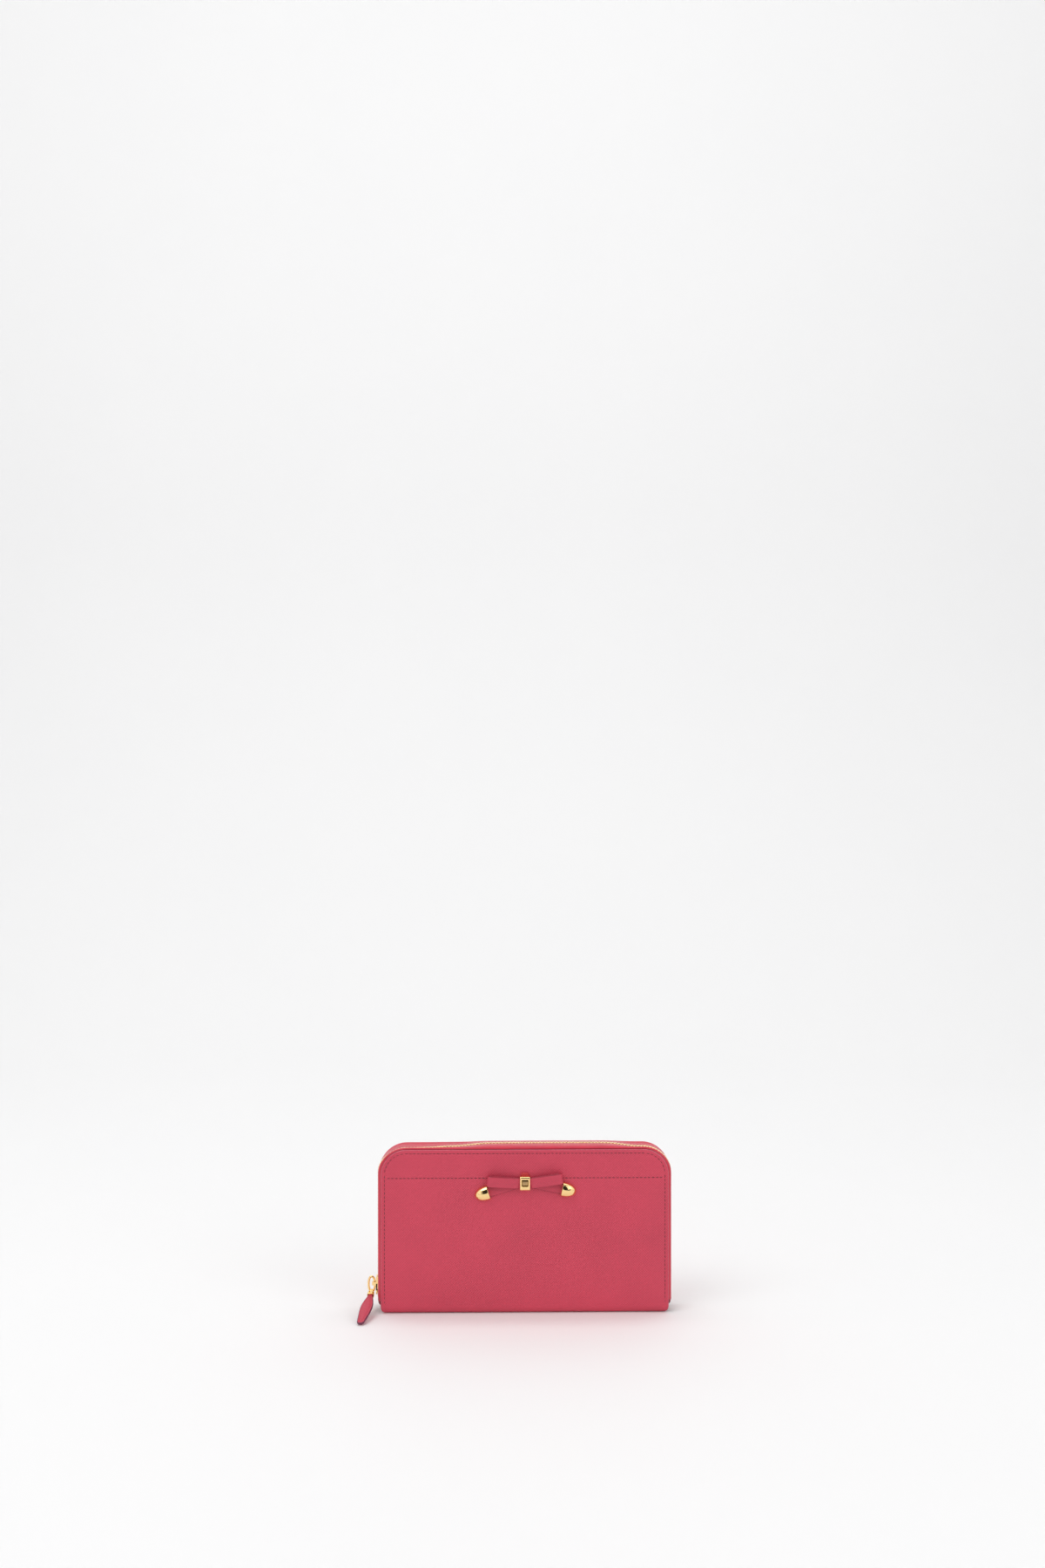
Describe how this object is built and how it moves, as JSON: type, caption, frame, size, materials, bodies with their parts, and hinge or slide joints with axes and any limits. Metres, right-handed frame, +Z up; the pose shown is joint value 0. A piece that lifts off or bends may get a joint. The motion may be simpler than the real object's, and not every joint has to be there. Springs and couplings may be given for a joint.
{
  "type": "wristlet wallet",
  "caption": "Long zip-around leather wallet that stands on its spine, with a leather bow on the front, card slots and a zipped coin pocket inside.",
  "frame": {"origin": "middle of the flat underside of the spine, on the table", "axes": "+X to the right along the width, +Y from the front cover to the back cover, +Z up"},
  "size_m": [0.2051, 0.0488, 0.1106],
  "materials": {
    "leather": "cross-grained, semi-matte",
    "inner_leather": "smooth, semi-matte",
    "lining": "fine woven, matte",
    "zip_tape": "tight woven, satin",
    "thread": "twisted, satin",
    "board": "matte paperboard",
    "zip_teeth": "polished gold plating",
    "gold_metal": "polished gold plating"
  },
  "bodies": {
    "back_half": {"back_cover": "leather", "spine": "leather", "spine_lining": "lining", "back_board": "board", "back_lining": "lining", "back_zip_tape": "zip_tape", "back_zip_teeth": "zip_teeth", "back_zip_stops": "gold_metal", "back_stitching": "thread", "back_card_backing": "lining", "back_card_slots": "inner_leather", "left_gusset": "inner_leather", "right_gusset": "inner_leather", "left_end_patch": "leather", "right_end_patch": "leather"},
    "front_half": {"front_cover": "leather", "front_board": "board", "front_lining": "lining", "front_zip_tape": "zip_tape", "front_zip_teeth": "zip_teeth", "front_zip_stops": "gold_metal", "front_stitching": "thread", "yoke_stitching": "thread", "front_card_backing": "lining", "front_card_slots": "inner_leather", "bow_loops": "leather", "bow_tails": "leather", "bow_keeper": "gold_metal", "keeper_plate": "gold_metal", "bow_cap_left": "gold_metal", "bow_cap_right": "gold_metal"},
    "coin_pocket": {"coin_front_wall": "inner_leather", "coin_back_wall": "inner_leather", "coin_seams": "inner_leather", "coin_front_tape": "zip_tape", "coin_back_tape": "zip_tape", "coin_front_teeth": "zip_teeth", "coin_back_teeth": "zip_teeth"},
    "coin_slider": {"coin_zip_slider": "gold_metal"},
    "coin_pull": {"coin_zip_pull": "gold_metal"},
    "slider": {"zip_slider": "gold_metal"},
    "ring": {"pull_ring": "gold_metal"},
    "tab": {"tab_clasp": "gold_metal", "pull_tab": "leather"}
  },
  "joints": [
    {"name": "cover_open", "type": "hinge", "parent": "back_half", "child": "front_half", "pos_m": [0, -0.012, 0.005], "axis": [1, 0, 0], "range_deg": [0, 50], "deforming": ["left_gusset", "right_gusset"]},
    {"name": "pocket_swing", "type": "hinge", "parent": "back_half", "child": "coin_pocket", "pos_m": [0, 0, 0.0015], "axis": [1, 0, 0], "range_deg": [0, 25]},
    {"name": "slider_travel", "type": "slide", "parent": "back_half", "child": "slider", "axis": [0, 0, 1], "range_m": [0, 0.065], "deforming": ["front_zip_teeth", "back_zip_teeth"]},
    {"name": "ring_swing", "type": "hinge", "parent": "slider", "child": "ring", "pos_m": [-0.0996, 0, 0.0172], "axis": [0, 0, 1], "range_deg": [-50, 5.5]},
    {"name": "tab_swing", "type": "hinge", "parent": "ring", "child": "tab", "pos_m": [-0.10169, 0.0002, 0.0117], "axis": [0.9954, -0.0958, 0], "range_deg": [-45, 70]},
    {"name": "coin_slider_travel", "type": "slide", "parent": "coin_pocket", "child": "coin_slider", "axis": [1, 0, 0], "range_m": [0, 0.15], "deforming": ["coin_front_teeth", "coin_back_teeth"]},
    {"name": "coin_pull_swing", "type": "hinge", "parent": "coin_slider", "child": "coin_pull", "pos_m": [-0.0773, 0, 0.09395], "axis": [0, -1, 0], "range_deg": [0, 150]}
  ],
  "couplings": [
    {"joint": "pocket_swing", "follows": "cover_open", "ratio": 0.5}
  ]
}
